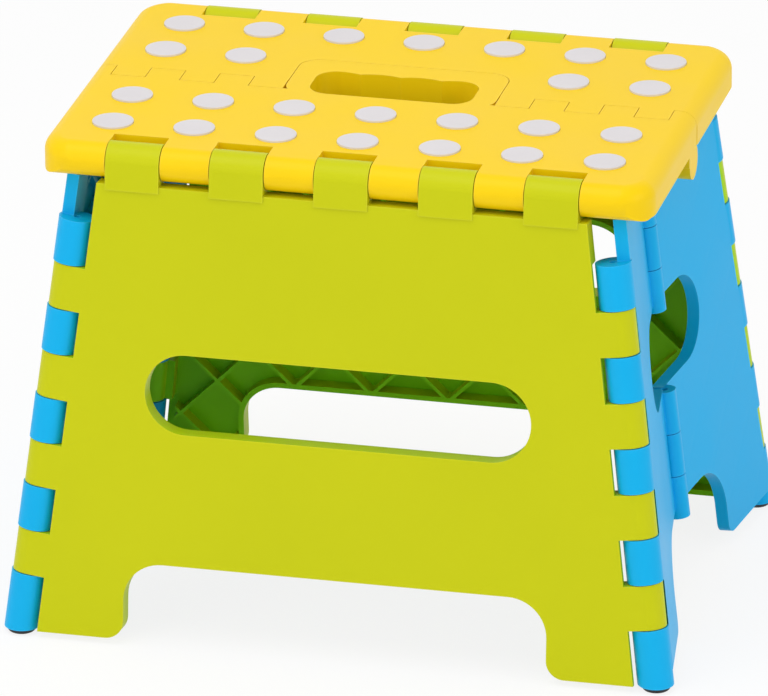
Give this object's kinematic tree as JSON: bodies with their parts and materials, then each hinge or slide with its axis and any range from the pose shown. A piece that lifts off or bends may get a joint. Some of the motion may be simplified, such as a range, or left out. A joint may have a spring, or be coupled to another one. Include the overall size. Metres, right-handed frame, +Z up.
{
  "type": "folding step stool",
  "caption": "Low plastic step stool with a hinged seat, slotted leg panels and folding ends that collapse flat when the handle is lifted.",
  "frame": {"origin": "on the floor under the middle of the seat, stool open", "axes": "+X along the seat to its right end, -Y to the front leg panel, +Z up"},
  "size_m": [0.2932, 0.2206, 0.2208],
  "materials": {
    "seat_plastic": "moulded polypropylene, fine satin texture",
    "leg_plastic": "moulded polypropylene, fine satin texture",
    "end_plastic": "moulded polypropylene, fine satin texture",
    "grip_rubber": "soft thermoplastic rubber, matt",
    "foot_rubber": "black rubber, matt",
    "pin_steel": "drawn steel rod"
  },
  "bodies": {
    "front_legs": {"front_leg_panel": "leg_plastic", "front_top_hinge_pin": "pin_steel", "right_front_edge_pin": "pin_steel", "left_front_edge_pin": "pin_steel"},
    "top_front": {"top_front_half": "seat_plastic", "grip_dots_front": "grip_rubber", "centre_hinge_pin_left": "pin_steel", "centre_hinge_pin_right": "pin_steel"},
    "top_rear": {"top_rear_half": "seat_plastic", "grip_dots_rear": "grip_rubber"},
    "rear_legs": {"rear_leg_panel": "leg_plastic", "rear_top_hinge_pin": "pin_steel", "right_rear_edge_pin": "pin_steel", "left_rear_edge_pin": "pin_steel"},
    "right_end_front": {"right_end_front_half": "end_plastic", "foot_pad_right_front": "foot_rubber", "right_middle_pins": "pin_steel"},
    "right_end_rear": {"right_end_rear_half": "end_plastic", "foot_pad_right_rear": "foot_rubber"},
    "left_end_front": {"left_end_front_half": "end_plastic", "foot_pad_left_front": "foot_rubber", "left_middle_pins": "pin_steel"},
    "left_end_rear": {"left_end_rear_half": "end_plastic", "foot_pad_left_rear": "foot_rubber"}
  },
  "joints": [
    {"name": "centre_fold", "type": "hinge", "parent": "top_front", "child": "top_rear", "pos_m": [0, 0, 0.1997], "axis": [-1, 0, 0], "range_deg": [0, 180]},
    {"name": "front_top_hinge", "type": "hinge", "parent": "top_front", "child": "front_legs", "pos_m": [0, -0.083, 0.2123], "axis": [-1, 0, 0], "range_deg": [0, 85.5]},
    {"name": "rear_top_hinge", "type": "hinge", "parent": "top_rear", "child": "rear_legs", "pos_m": [0, 0.083, 0.2123], "axis": [1, 0, 0], "range_deg": [0, 85.5]},
    {"name": "right_front_corner_hinge", "type": "hinge", "parent": "front_legs", "child": "right_end_front", "pos_m": [0.1129, -0.083, 0.2123], "axis": [-0.1219, 0.0917, 0.9883], "range_deg": [0, 77.11]},
    {"name": "right_rear_corner_hinge", "type": "hinge", "parent": "rear_legs", "child": "right_end_rear", "pos_m": [0.1129, 0.083, 0.2123], "axis": [0.1219, 0.0917, -0.9883], "range_deg": [0, 77.11]},
    {"name": "left_front_corner_hinge", "type": "hinge", "parent": "front_legs", "child": "left_end_front", "pos_m": [-0.1129, -0.083, 0.2123], "axis": [-0.1219, -0.0917, -0.9883], "range_deg": [0, 77.11]},
    {"name": "left_rear_corner_hinge", "type": "hinge", "parent": "rear_legs", "child": "left_end_rear", "pos_m": [-0.1129, 0.083, 0.2123], "axis": [0.1219, -0.0917, 0.9883], "range_deg": [0, 77.11]}
  ],
  "couplings": [
    {"joint": "front_top_hinge", "follows": "centre_fold", "ratio": 0.47502},
    {"joint": "rear_top_hinge", "follows": "centre_fold", "ratio": 0.47502},
    {"joint": "right_front_corner_hinge", "follows": "centre_fold", "ratio": 0.42838},
    {"joint": "right_rear_corner_hinge", "follows": "centre_fold", "ratio": 0.42838},
    {"joint": "left_front_corner_hinge", "follows": "centre_fold", "ratio": 0.42838},
    {"joint": "left_rear_corner_hinge", "follows": "centre_fold", "ratio": 0.42838}
  ]
}
